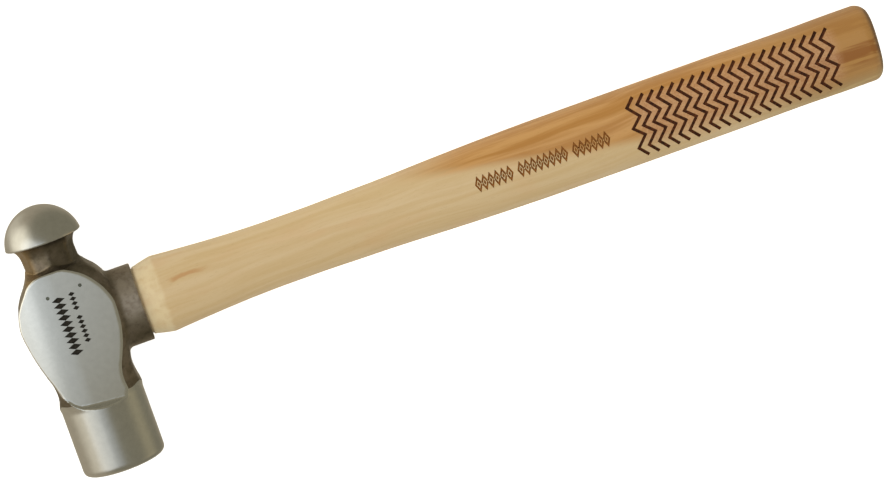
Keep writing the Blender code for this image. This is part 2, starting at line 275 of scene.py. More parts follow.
def surface_net(distance, low, high, cell):
    """Points and four-sided faces on the zero surface of a distance function inside a box."""
    axes = [np.arange(a, b + cell, cell) for a, b in zip(low, high)]
    grid = np.stack(np.meshgrid(*axes, indexing="ij"), axis=-1)
    value = distance(grid)
    inside = value < 0
    shape = np.array(value.shape) - 1
    corners = [(i, j, k) for i in (0, 1) for j in (0, 1) for k in (0, 1)]

    def corner(array, c):
        return array[c[0] : c[0] + shape[0], c[1] : c[1] + shape[1], c[2] : c[2] + shape[2]]

    # A point in each cell that the surface runs through, at the middle of its crossings.
    filled = sum(corner(inside, c).astype(int) for c in corners)
    cells = np.argwhere((filled > 0) & (filled < 8))
    number = -np.ones(shape, int)
    number[tuple(cells.T)] = np.arange(len(cells))
    total, count = np.zeros((len(cells), 3)), np.zeros((len(cells), 1))
    for a in corners:
        for b in corners:
            if sum(b) - sum(a) != 1 or sum(abs(p - q) for p, q in zip(a, b)) != 1:
                continue
            at_a, at_b = cells + a, cells + b
            va, vb = value[tuple(at_a.T)], value[tuple(at_b.T)]
            cross = ((va < 0) != (vb < 0))[:, None]
            t = (va / np.where(va == vb, 1.0, va - vb))[:, None]
            total += np.where(cross, at_a + (at_b - at_a) * t, 0.0)
            count += cross
    points = np.array(low) + total / count * cell

    # A face round each edge of the grid that crosses the surface.
    faces = []
    for axis in range(3):
        u, v = (axis + 1) % 3, (axis + 2) % 3
        ahead = np.roll(inside, -1, axis)
        edges = np.argwhere(inside != ahead)
        edges = edges[(edges[:, axis] < shape[axis]) & (edges[:, u] > 0) & (edges[:, v] > 0)]
        step_u, step_v = np.eye(3, dtype=int)[u], np.eye(3, dtype=int)[v]
        loop = [edges, edges - step_u, edges - step_u - step_v, edges - step_v]
        quads = np.stack([number[tuple(c.T)] for c in loop], axis=1)
        flip = ~inside[tuple(edges.T)]
        quads[flip] = quads[flip][:, ::-1]
        faces.append(quads)
    return points, np.concatenate(faces)


def settle(distance, points, faces):
    """Evens out the points of a net and puts each one exactly on the surface."""
    pairs = np.concatenate([faces[:, [i, (i + 1) % 4]] for i in range(4)])
    degree = np.bincount(pairs.ravel(), minlength=len(points))[:, None]
    for turn in range(SETTLE_ROUNDS + 1):
        if turn > 0:
            total = np.zeros_like(points)
            for axis in range(3):
                total[:, axis] = np.bincount(pairs[:, 0], points[pairs[:, 1], axis], len(points))
                total[:, axis] += np.bincount(pairs[:, 1], points[pairs[:, 0], axis], len(points))
            points = points + RELAXED * (total / degree - points)
        for _ in range(MOVES_A_ROUND):
            points = onto_surface(distance, points)
    return points


def onto_surface(distance, points):
    """Moves points down the slope of the distance, straight to its zero or as far as one move goes."""
    here = distance(points)
    slope = np.zeros_like(points)
    for axis in range(3):
        step = np.eye(3)[axis] * PROBE
        slope[:, axis] = (distance(points + step) - distance(points - step)) / (2 * PROBE)
    steepness = np.maximum((slope**2).sum(1), LEAST_STEEPNESS)
    move = slope * (here / steepness)[:, None]
    length = np.linalg.norm(move, axis=1, keepdims=True)
    return points - move * np.minimum(1.0, LONGEST_MOVE / np.maximum(length, 1e-9))


def mesh_piece(name, points, faces, materials):
    """An object from points in millimetres."""
    mesh = bpy.data.meshes.new(name)
    mesh.from_pydata((np.asarray(points, float) * MM).tolist(), [], [list(map(int, f)) for f in faces])
    mesh.validate()
    mesh.shade_smooth()
    piece = bpy.data.objects.new(name, mesh)
    bpy.context.scene.collection.objects.link(piece)
    for material in materials:
        mesh.materials.append(material)
    return piece


def loft(rings, close_ends=True):
    """Points and faces of a skin through rings of points. End rings are closed by a fan to their middle."""
    rings = np.asarray(rings, float)
    count, size = rings.shape[:2]
    here = np.arange(size)
    ahead = (here + 1) % size
    faces = []
    for k in range(count - 1):
        a, b = k * size, (k + 1) * size
        faces += np.stack([a + here, a + ahead, b + ahead, b + here], axis=1).tolist()
    points = rings.reshape(-1, 3)
    if close_ends:
        middles = [rings[0].mean(0), rings[-1].mean(0)]
        first, last = len(points), len(points) + 1
        points = np.concatenate([points, middles])
        faces += [[int(j), int(i), first] for i, j in zip(here, ahead)]
        end = (count - 1) * size
        faces += [[int(end + i), int(end + j), last] for i, j in zip(here, ahead)]
    return points, faces


def joined(shapes):
    """Several point and face lists as one."""
    points, faces, start = [], [], 0
    for some_points, some_faces in shapes:
        points.append(np.asarray(some_points, float))
        faces += [[index + start for index in face] for face in some_faces]
        start += len(some_points)
    return np.concatenate(points), faces


def outward(points, faces):
    """The same closed shapes with every face looking out."""
    bm = bmesh.new()
    verts = [bm.verts.new(p) for p in points]
    for face in faces:
        bm.faces.new([verts[i] for i in face])
    bmesh.ops.recalc_face_normals(bm, faces=bm.faces)
    bm.verts.index_update()
    turned = [[v.index for v in face.verts] for face in bm.faces]
    bm.free()
    return points, turned


def cut(piece, name, shape, slot=1):
    """Takes closed shapes out of a piece. The new faces get the material in the given slot of the piece."""
    cutter = mesh_piece(name, *outward(*shape), piece.data.materials)
    cutter.data.polygons.foreach_set("material_index", [slot] * len(cutter.data.polygons))
    step = piece.modifiers.new(name, "BOOLEAN")
    step.operation = "DIFFERENCE"
    step.solver = "MANIFOLD"
    step.object = cutter
    graph = bpy.context.evaluated_depsgraph_get()
    made = bpy.data.meshes.new_from_object(piece.evaluated_get(graph))
    old = piece.data
    piece.modifiers.clear()
    piece.data = made
    bpy.data.meshes.remove(old)
    bpy.data.objects.remove(cutter)


def sharpen_cuts(piece):
    """Keeps the edges of cuts crisp when the piece is shaded smooth."""
    bm = bmesh.new()
    bm.from_mesh(piece.data)
    for edge in bm.edges:
        if any(face.material_index > 0 for face in edge.link_faces):
            edge.smooth = len(edge.link_faces) == 2 and edge.calc_face_angle() < CRISP_ANGLE
    bm.to_mesh(piece.data)
    bm.free()


# Punched marks on the upper cheek: plain lozenges and dots.
MARK_DEPTH = 0.35
MARK_ABOVE = 1.0
MARK_SPREAD = 1.25
BOLD_ROW = {"x": -2.3, "start": 64.6, "pitch": 2.14, "groups": (10,), "half": (2.25, 0.98)}
SMALL_ROW = {"x": 2.7, "start": 65.2, "pitch": 1.7, "groups": (4, 6), "half": (1.15, 0.72)}
GROUP_SPACE = 2.6
PUNCH_DOTS = ((6.5, 67.1), (-5.5, 66.4))
DOT_RADIUS = 0.6
DOT_SIDES = 16


def lozenge(x, y, half):
    """The corners of a flat lozenge with its half sizes along X and Y."""
    return ((x + half[0], y), (x, y + half[1]), (x - half[0], y), (x, y - half[1]))


def prism(outline, low, high):
    """A shape through a flat outline, a little wider at its top."""
    outline = np.asarray(outline, float)
    middle = outline.mean(0)
    bottom = np.column_stack([outline, np.full(len(outline), low)])
    top = np.column_stack([middle + (outline - middle) * MARK_SPREAD, np.full(len(outline), high)])
    return loft([bottom, top])


def row_places(row):
    """Where each mark of a row lies, in groups with spaces between them."""
    y = row["start"]
    for size in row["groups"]:
        for _ in range(size):
            yield row["x"], y
            y -= row["pitch"]
        y -= GROUP_SPACE - row["pitch"] / 2


def mark_span(x, y):
    """Heights between which a mark's cutter reaches at a place on the upper cheek."""
    height = float(cheek_ceiling(x, y))
    return height - MARK_DEPTH, height + MARK_ABOVE


def cheek_marks():
    shapes = []
    for row in (BOLD_ROW, SMALL_ROW):
        for x, y in row_places(row):
            shapes.append(prism(lozenge(x, y, row["half"]), *mark_span(x, y)))
    return joined(shapes)


def punch_dots():
    shapes = []
    turns = np.arange(DOT_SIDES) * 2 * math.pi / DOT_SIDES
    for x, y in PUNCH_DOTS:
        dot = np.column_stack([x + DOT_RADIUS * np.cos(turns), y + DOT_RADIUS * np.sin(turns)])
        shapes.append(prism(dot, *mark_span(x, y)))
    return joined(shapes)


# Where the head is bright. A skin is how deep below a surface a point still counts as on it, and a blend is
# the width of a change from bright to forged. The ball is bright from BALL_SIDE on and along its lip.
TURNED_SKIN, TURNED_BLEND = 0.8, 0.5
CHEEK_SKIN, CHEEK_BLEND = 0.12, 0.3
BALL_LIP, BALL_BLEND = 0.35, 0.3
BALL_UNDERSIDE, BALL_SIDE = NECK_TOP - 0.4, NECK_TOP + 0.8
EYE_SKIN = 0.35
EYE_REACH = (14.0, 11.0)


def polish_of(points):
    """How bright each point of the head is: 1 where it was ground or turned, 0 where it is as forged."""
    x, y, z = points.T
    across, angle = round_axis(x, y, z)
    turned = np.clip((forged_radius(angle, y) - turned_radius(y)) / TURNED_BLEND + 0.5, 0, 1)
    turned = turned * (across > turned_radius(y) - TURNED_SKIN)
    turned = np.where(y < POLL_TURNED_TO, 1.0, turned)
    ball = np.clip((across - BALL_RADIUS + BALL_LIP) / BALL_BLEND, 0, 1) * (y > BALL_UNDERSIDE)
    ball = np.where(y > BALL_SIDE, 1.0, ball)
    in_eye = oval_distance(y - EYE_CENTRE, z, *eye_half(x), EYE_POWER) < EYE_SKIN
    in_eye = in_eye & (np.abs(y - EYE_CENTRE) < EYE_REACH[0]) & (np.abs(z) < EYE_REACH[1])
    polish = np.maximum(np.maximum(turned, cheek_of(points)), ball)
    return np.where(in_eye, 0.0, polish)


def cheek_of(points):
    """1 on the ground flat of a cheek, and 0 elsewhere."""
    x, y, z = points.T
    depth = cheek_ceiling(x, y) - np.abs(z)
    return np.clip(1.0 - (depth - CHEEK_SKIN) / CHEEK_BLEND, 0, 1) * (y < CHEEK_END)


def set_shares(piece, **shares):
    """Gives a piece a named number at each point, from a function of the points in millimetres."""
    places = np.zeros(len(piece.data.vertices) * 3)
    piece.data.vertices.foreach_get("co", places)
    places = places.reshape(-1, 3) / MM
    for name, share in shares.items():
        attribute = piece.data.attributes.new(name, "FLOAT", "POINT")
        attribute.data.foreach_set("value", share(places).astype(np.float32))


def make_head():
    points, faces = surface_net(head_distance, HEAD_LOW, HEAD_HIGH, CELL)
    points = settle(head_distance, points, faces)
    head = mesh_piece("forged_head", points, faces, [head_steel(), punched_mark(), punch_dot()])
    cut(head, "cheek_marks", cheek_marks())
    cut(head, "punch_dots", punch_dots(), slot=2)
    sharpen_cuts(head)
    set_shares(head, polish=polish_of, cheek=cheek_of)
    return head


# Burnt marks on the handle's upper side. Places are distances from the collar, and from the middle line as
# far as FARTHEST_ACROSS of the half width. A mark's top and floor are shares of its width on the surface.
FARTHEST_ACROSS = 0.97
BURN_TOP, BURN_FLOOR, CORE_FLOOR = 1.5, 0.6, 0.7
CHEVRONS = 20
CHEVRON_FIRST = 182.7
CHEVRON_PITCH = 3.84
CHEVRON_PATH = ((3.3, 10.8), (0.0, 7.9), (3.4, 3.9), (-0.3, 0.4), (3.2, -2.9), (-0.4, -6.9), (2.7, -10.4))
BURN_WIDTH = 1.2
BURN_DEPTH = 0.4
BURN_ABOVE = 0.8
FRIEZE_START = 124.6
FRIEZE_PITCH = 2.3
FRIEZE_GROUPS = (6, 8, 6)
FRIEZE_SPACE = 2.0
FRIEZE_MIDDLE = 0.25
FRIEZE_LOZENGE = (1.05, 2.3)
FRIEZE_CORE = (0.42, 1.0)
FRIEZE_WIDTH = 0.7

# Where the rings of the handle's skin lie. The shares are of the rings that close its two ends.
FAR_END = -17.0
FAR_END_SHARES = (0.15, 0.4, 0.65, 0.85, 0.96, 1.0)
TENON_FROM, TENON_RINGS = -15.5, 20
SHOULDER_FROM, SHOULDER_TO, SHOULDER_STEP = 0.6, 12.0, 0.6
BUTT_RINGS = 12
BUTT_END_SHARES = (0.85, 0.6, 0.35, 0.12)


def section_half(place):
    """Half width and half thickness of the handle at a distance from the collar."""
    return smooth_column(HANDLE_SECTIONS, 1, place), smooth_column(HANDLE_SECTIONS, 2, place)


def oval_ring(x, skew, half_y, half_z, power):
    turns = 2 * math.pi * np.arange(HANDLE_SEGMENTS) / HANDLE_SEGMENTS
    c, s = np.cos(turns), np.sin(turns)
    y = half_y * np.sign(c) * np.abs(c) ** (2 / power)
    z = half_z * np.sign(s) * np.abs(s) ** (2 / power)
    return np.column_stack([x + skew * y, EYE_CENTRE + y, z])


def far_side(y):
    """x at which an end that follows the head's far side lies, a little inside it."""
    return END_SINK - smooth_column(FORGING, 1, y)


def far_end_ring(half_y, half_z):
    """The handle's end in the eye, trimmed to follow the head's side."""
    ring = oval_ring(0.0, 0.0, half_y, half_z, EYE_POWER)
    ring[:, 0] = far_side(ring[:, 1])
    return ring


def handle_rings():
    rings = []
    half_y, half_z = (half - HANDLE_GAP for half in eye_half(FAR_END))
    for share in FAR_END_SHARES:
        rings.append(far_end_ring(half_y * share, half_z * share))
    for x in np.linspace(TENON_FROM, COLLAR_END + HANDLE_GAP, TENON_RINGS):
        half_y, half_z = (half - HANDLE_GAP for half in eye_half(x))
        rings.append(oval_ring(x, 0.0, half_y, half_z, EYE_POWER))
    straight = HANDLE_LENGTH - BUTT_RADIUS
    shoulder = np.arange(SHOULDER_FROM, SHOULDER_TO, SHOULDER_STEP)
    for place in np.concatenate([shoulder, np.arange(SHOULDER_TO, straight, HANDLE_STEP)]):
        rings.append(oval_ring(COLLAR_END + place, 0.0, *section_half(place), OVAL_POWER))
    half_y, half_z = section_half(straight)
    for turn in np.linspace(0, math.pi / 2, BUTT_RINGS):
        x = COLLAR_END + straight + BUTT_RADIUS * math.sin(turn)
        inset = BUTT_RADIUS * (1 - math.cos(turn))
        skew = BUTT_SKEW * math.sin(turn)
        rings.append(oval_ring(x, skew, half_y - inset, half_z - inset, OVAL_POWER))
    end_y, end_z = half_y - BUTT_RADIUS, half_z - BUTT_RADIUS
    for share in BUTT_END_SHARES:
        rings.append(oval_ring(BUTT_END, BUTT_SKEW, end_y * share, end_z * share, OVAL_POWER))
    return rings


def on_handle(place, y, height):
    """The point a height above the handle's upper side, and y off its middle line."""
    half_y, half_z = section_half(place)
    share_y = min(abs(y) / half_y, FARTHEST_ACROSS)
    z = half_z * (1 - share_y**OVAL_POWER) ** (1 / OVAL_POWER)
    normal_y = math.copysign(share_y ** (OVAL_POWER - 1) / half_y, y)
    normal_z = (z / half_z) ** (OVAL_POWER - 1) / half_z
    size = math.hypot(normal_y, normal_z)
    return (COLLAR_END + place, EYE_CENTRE + y + height * normal_y / size, z + height * normal_z / size)


def offset_line(path, shift, closed):
    """A line beside a flat path, mitred at its corners."""
    path = np.asarray(path, float)
    ahead, behind = np.roll(path, -1, 0) - path, path - np.roll(path, 1, 0)
    if not closed:
        ahead[-1], behind[0] = behind[-1], ahead[0]
    ahead /= np.linalg.norm(ahead, axis=1, keepdims=True)
    behind /= np.linalg.norm(behind, axis=1, keepdims=True)
    across = np.column_stack([-(ahead + behind)[:, 1], (ahead + behind)[:, 0]])
    across /= (across * across).sum(1, keepdims=True) / 2
    return path + across * shift


def divided(path, closed):
    """A path with three more points on each of its stretches."""
    path = np.asarray(path, float)
    ends = np.roll(path, -1, 0) if closed else path[1:]
    starts = path if closed else path[:-1]
    points = [a + (b - a) * t for a, b in zip(starts, ends) for t in (0.0, 0.25, 0.5, 0.75)]
    return np.array(points if closed else points + [path[-1]])


def burnt_line(path, width, closed=False):
    """A cutter along a path over the handle's upper side, which leaves a groove with sloping walls."""
    sides = []
    for height, share in ((BURN_ABOVE, BURN_TOP), (-BURN_DEPTH, BURN_FLOOR)):
        for hand in (1, -1):
            line = divided(offset_line(path, hand * width * share / 2, closed), closed)
            sides.append([on_handle(place, y, height) for place, y in line])
    top_left, top_right, bottom_left, bottom_right = sides
    rings = np.stack([top_left, bottom_left, bottom_right, top_right], axis=1)
    if not closed:
        return loft(rings)
    points, faces = loft(np.concatenate([rings, rings[:1]]), close_ends=False)
    count = len(rings) * 4
    return points[:count], [[index % count for index in face] for face in faces]


def burnt_lozenge(place, y, half):
    """A cutter for a solid lozenge."""
    rings = []
    for height, share in ((-BURN_DEPTH, CORE_FLOOR), (BURN_ABOVE, BURN_TOP)):
        corners = lozenge(place, y, (half[0] * share, half[1] * share))
        rings.append([on_handle(*corner, height) for corner in corners])
    return loft(rings)


def burnt_marks():
    """The grip's chevrons, and a frieze of lozenges in three groups."""
    shapes = []
    for i in range(CHEVRONS):
        start = CHEVRON_FIRST + i * CHEVRON_PITCH
        shapes.append(burnt_line([(start + along, y) for along, y in CHEVRON_PATH], BURN_WIDTH))
    place = FRIEZE_START
    for size in FRIEZE_GROUPS:
        for _ in range(size):
            outline = lozenge(place, FRIEZE_MIDDLE, FRIEZE_LOZENGE)
            shapes.append(burnt_line(outline, FRIEZE_WIDTH, closed=True))
            shapes.append(burnt_lozenge(place, FRIEZE_MIDDLE, FRIEZE_CORE))
            place += FRIEZE_PITCH
        place += FRIEZE_SPACE
    return joined(shapes)


# Wedges: sizes are given at the outer end and at the tip.
TIGHT = 0.06
WEDGE_CORNER = 0.12
WOODEN_WEDGE_PROUD, STEEL_WEDGE_PROUD = 0.1, 0.2
KERF_OVERSHOOT = 4.0
WOODEN_WEDGE_ENDS = (-18.1, 4.0)
WOODEN_WEDGE_HALF_THICKNESS = (1.8, 0.35)
WOODEN_WEDGE_HALF_WIDTH = (11.3, 10.0)
STEEL_WEDGE_ENDS = (-17.2, -5.0)
STEEL_WEDGE_HALF_THICKNESS = (1.2, 0.4)
STEEL_WEDGE_HALF_WIDTH = 5.5
STEEL_WEDGE_OFFSET = 5.4
STEEL_WEDGE_PLACES = (EYE_CENTRE - STEEL_WEDGE_OFFSET, EYE_CENTRE + STEEL_WEDGE_OFFSET)
PAST_SIDE = -26.0
KERF_RINGS, WOODEN_WEDGE_RINGS, STEEL_WEDGE_RINGS = 8, 31, 6


def tapered(x, ends, sizes):
    """Size at x of a wedge whose size runs evenly from one end to the other, and on past both."""
    return sizes[0] + (sizes[1] - sizes[0]) * (x - ends[0]) / (ends[1] - ends[0])


def soft_rectangle(x, middle_y, half_y, half_z):
    """A ring across X with small rounded corners."""
    ring = []
    flat_y, flat_z = half_y - WEDGE_CORNER, half_z - WEDGE_CORNER
    for sign_y, sign_z, start in ((1, 1, 0), (-1, 1, 1), (-1, -1, 2), (1, -1, 3)):
        for step in (0, 0.5, 1):
            turn = (start + step) * math.pi / 2
            y = sign_y * flat_y + WEDGE_CORNER * math.cos(turn)
            z = sign_z * flat_z + WEDGE_CORNER * math.sin(turn)
            ring.append((x, middle_y + y, z))
    return ring


def kerf_shape():
    """A cutter for the wooden wedge's kerf, which runs out through the tenon's sides and far end."""
    rings = []
    for x in np.linspace(PAST_SIDE, WOODEN_WEDGE_ENDS[1] + TIGHT, KERF_RINGS):
        half_y = tapered(x, WOODEN_WEDGE_ENDS, WOODEN_WEDGE_HALF_WIDTH) + KERF_OVERSHOOT
        half_z = tapered(x, WOODEN_WEDGE_ENDS, WOODEN_WEDGE_HALF_THICKNESS) + TIGHT
        rings.append(soft_rectangle(x, EYE_CENTRE, half_y, half_z))
    return loft(rings)


def wooden_wedge_shape():
    """The wooden wedge, sawn off to follow the head's side with the handle's end."""
    rings = []
    tip, tip_half_z = WOODEN_WEDGE_ENDS[1], WOODEN_WEDGE_HALF_THICKNESS[1]
    for share in np.linspace(-1, 1, WOODEN_WEDGE_RINGS):
        y, tip_y = (EYE_CENTRE + share * half for half in WOODEN_WEDGE_HALF_WIDTH)
        outer = float(far_side(y)) - WOODEN_WEDGE_PROUD
        half_z = tapered(outer, WOODEN_WEDGE_ENDS, WOODEN_WEDGE_HALF_THICKNESS)
        above = [(outer, y, half_z), (tip, tip_y, tip_half_z)]
        below = [(tip, tip_y, -tip_half_z), (outer, y, -half_z)]
        rings.append(above + below)
    return loft(rings)


def steel_wedge_shape(middle_y, clearance, outer_x):
    """A steel wedge, or with a clearance the slot for it."""
    rings = []
    for x in np.linspace(outer_x, STEEL_WEDGE_ENDS[1] + clearance, STEEL_WEDGE_RINGS):
        half_y = tapered(x, STEEL_WEDGE_ENDS, STEEL_WEDGE_HALF_THICKNESS) + clearance
        rings.append(soft_rectangle(x, middle_y, half_y, STEEL_WEDGE_HALF_WIDTH + clearance))
    return loft(rings)


def steel_wedge_slots():
    return joined([steel_wedge_shape(y, TIGHT, PAST_SIDE) for y in STEEL_WEDGE_PLACES])


def make_handle():
    points, faces = loft(handle_rings())
    handle = mesh_piece("hickory_handle", *outward(points, faces), [hickory(), scorched_wood()])
    cut(handle, "burnt_marks", burnt_marks())
    cut(handle, "kerf", kerf_shape())
    cut(handle, "slots", steel_wedge_slots())
    sharpen_cuts(handle)
    return handle


def make_wooden_wedge():
    wood = wedge_wood()
    wedge = mesh_piece("sawn_wedge", *outward(*wooden_wedge_shape()), [wood, wood])
    cut(wedge, "wedge_slots", steel_wedge_slots())
    sharpen_cuts(wedge)
    return wedge


def make_steel_wedge(name, middle_y):
    shape = steel_wedge_shape(middle_y, 0.0, float(far_side(middle_y)) - STEEL_WEDGE_PROUD)
    return mesh_piece(name, *outward(*shape), [wedge_steel()])


# Materials.


class Nodes:
    """Short ways to build a material's or a world's nodes."""

    def __init__(self, tree):
        self.tree = tree

    def add(self, kind, values=(), **settings):
        node = self.tree.nodes.new(kind)
        for key, value in settings.items():
            setattr(node, key, value)
        for key, value in dict(values).items():
            if isinstance(value, bpy.types.NodeSocket):
                self.tree.links.new(value, node.inputs[key])
            else:
                node.inputs[key].default_value = value
        return node

    def calc(self, operation, a, b=0.0):
        return self.add("ShaderNodeMath", {0: a, 1: b}, operation=operation).outputs[0]

    def mix(self, share, a, b, blend="MIX"):
        """Two colours mixed. Colours are given as sRGB hex numbers or as sockets."""
        a, b = (colour(c) if isinstance(c, int) else c for c in (a, b))
        node = self.add("ShaderNodeMix", {0: share, 6: a, 7: b}, data_type="RGBA", blend_type=blend)
        return node.outputs[2]

    def fade(self, value, low, high, to_low=0.0, to_high=1.0):
        """A smooth step: to_low below low, and to_high above high."""
        inputs = {"Value": value, "From Min": low, "From Max": high, "To Min": to_low, "To Max": to_high}
        return self.add("ShaderNodeMapRange", inputs, interpolation_type="SMOOTHSTEP").outputs[0]

    def place(self):
        """Position on the piece in millimetres."""
        here = self.add("ShaderNodeTexCoord").outputs["Object"]
        return self.add("ShaderNodeVectorMath", {0: here, "Scale": 1 / MM}, operation="SCALE").outputs[0]

    def stretched(self, place, x, y, z):
        return self.add("ShaderNodeVectorMath", {0: place, 1: (x, y, z)}, operation="MULTIPLY").outputs[0]

    def parts(self, place):
        return self.add("ShaderNodeSeparateXYZ", {0: place}).outputs

    def noise(self, vector, scale, detail=3.0, roughness=0.5, distortion=0.0):
        inputs = {"Vector": vector, "Scale": scale, "Detail": detail}
        inputs.update({"Roughness": roughness, "Distortion": distortion})
        return self.add("ShaderNodeTexNoise", inputs).outputs[0]

    def bump(self, height, strength, distance):
        inputs = {"Height": height, "Strength": strength, "Distance": distance * MM}
        return self.add("ShaderNodeBump", inputs).outputs[0]


def colour(code):
    """A linear colour from an sRGB hex number."""
    parts = [(code >> shift & 255) / 255 for shift in (16, 8, 0)]
    linear = [p / 12.92 if p <= 0.04045 else ((p + 0.055) / 1.055) ** 2.4 for p in parts]
    return (*linear, 1.0)


def new_material(name):
    material = bpy.data.materials.new(name)
    material.use_nodes = True
    return material, Nodes(material.node_tree), material.node_tree.nodes["Principled BSDF"]


def connect(nodes, shader, **sockets):
    for name, socket in sockets.items():
        nodes.tree.links.new(socket, shader.inputs[name.replace("_", " ")])


def head_steel():
    """Steel that was ground or turned where the polish attribute is 1, and forging scale where it is 0."""
    material, n, shader = new_material("forged_and_polished_steel")
    place = n.place()
    polish = n.add("ShaderNodeAttribute", attribute_name="polish").outputs["Fac"]
    cheek = n.add("ShaderNodeAttribute", attribute_name="cheek").outputs["Fac"]
    mottle = n.noise(place, 0.5, 5.0, 0.6)
    fine = n.noise(place, 2.2, 4.0, 0.6)
    edge = n.calc("ADD", polish, n.calc("MULTIPLY", n.calc("SUBTRACT", fine, 0.5), 0.5))
    bright = n.fade(edge, 0.35, 0.6)
    turned = n.mix(n.fade(mottle, 0.3, 0.7), 0xC9C9C8, 0xD0D0CF)
    ground = n.mix(n.fade(mottle, 0.3, 0.7), 0xDDDDDC, 0xE2E2E1)
    base = n.mix(bright, forging_scale_and_painted_light(n, place, mottle), n.mix(cheek, turned, ground))
    lines = n.noise(n.stretched(place, 1.0, 14.0, 1.0), 0.6, 3.0, 0.6)
    rough_turned = n.fade(lines, 0.3, 0.7, 0.28, 0.32)
    rough_polished = n.add("ShaderNodeMix", {0: cheek, 2: rough_turned, 3: 0.2}).outputs[0]
    rough_scale = n.fade(mottle, 0.3, 0.7, 0.3, 0.44)
    rough = n.add("ShaderNodeMix", {0: bright, 2: rough_scale, 3: rough_polished}).outputs[0]
    metallic = n.fade(bright, 0.0, 1.0, 0.85, 1.0)
    pits = n.calc("MULTIPLY", n.noise(place, 0.9, 5.0, 0.65), n.calc("SUBTRACT", 1.0, bright))
    relief = n.bump(pits, 0.4, 0.25)
    connect(n, shader, Base_Color=base, Roughness=rough, Metallic=metallic, Normal=relief)
    return material


def forging_scale_and_painted_light(n, place, mottle):
    """Dark scale, with painted light: a paler painted highlight across the collar's middle, a straw-brown
    painted highlight on the upper neck's far side, and painted shade on the upper neck's handle side.
    """
    x, y = n.parts(place)[:2]
    patches = n.noise(place, 0.16, 4.0, 0.55)
    scale = n.mix(n.fade(patches, 0.35, 0.65), 0x675E4E, 0x82776A)
    scale = n.mix(n.fade(mottle, 0.5, 0.75, 0.0, 0.45), scale, 0x3F382D)
    # Painted highlight: the collar is painted paler, most of all across its middle.
    collar_painted_highlight = n.mix(n.fade(mottle, 0.35, 0.7), 0xBCB1A6, 0x9E9288)
    off_middle = n.calc("ABSOLUTE", n.calc("SUBTRACT", y, EYE_CENTRE + 4.0))
    on_collar = n.calc("MULTIPLY", n.fade(x, 16.0, 19.5), n.fade(off_middle, 14.0, 2.5))
    scale = n.mix(n.calc("MULTIPLY", on_collar, 0.9), scale, collar_painted_highlight)
    on_neck = n.fade(y, 68.0, 74.0)
    # Painted shade: the upper neck is painted darker on its handle side, away from the light.
    scale = n.mix(n.calc("MULTIPLY", on_neck, n.fade(x, -2.0, 6.0, 0.0, 0.5)), scale, 0x47422F)
    # Painted highlight: the upper neck's far side, which faces the light, is painted a warm straw-brown.
    return n.mix(n.calc("MULTIPLY", on_neck, n.fade(x, -5.0, -8.5, 0.0, 0.6)), scale, 0xA08458)


def punched_mark():
    material, n, shader = new_material("blackened_punch_mark")
    tone = n.fade(n.noise(n.place(), 1.5), 0.3, 0.7)
    connect(n, shader, Base_Color=n.mix(tone, 0x16130F, 0x2E2A24))
    shader.inputs["Roughness"].default_value = 0.6
    shader.inputs["Metallic"].default_value = 0.3
    return material


def punch_dot():
    material, n, shader = new_material("grey_punch_dot")
    tone = n.fade(n.noise(n.place(), 1.5), 0.3, 0.7)
    connect(n, shader, Base_Color=n.mix(tone, 0x5E625A, 0x7A7E74))
    shader.inputs["Roughness"].default_value = 0.5
    shader.inputs["Metallic"].default_value = 0.6
    return material


def grain(n, place, wobble):
    """Growth rings seen along the handle, as long streaks."""
    bent = n.add("ShaderNodeVectorMath", {0: place, 1: wobble}, operation="ADD").outputs[0]
    return n.noise(n.stretched(bent, 0.016, 0.42, 0.42), 1.0, 4.0, 0.55, 0.3)


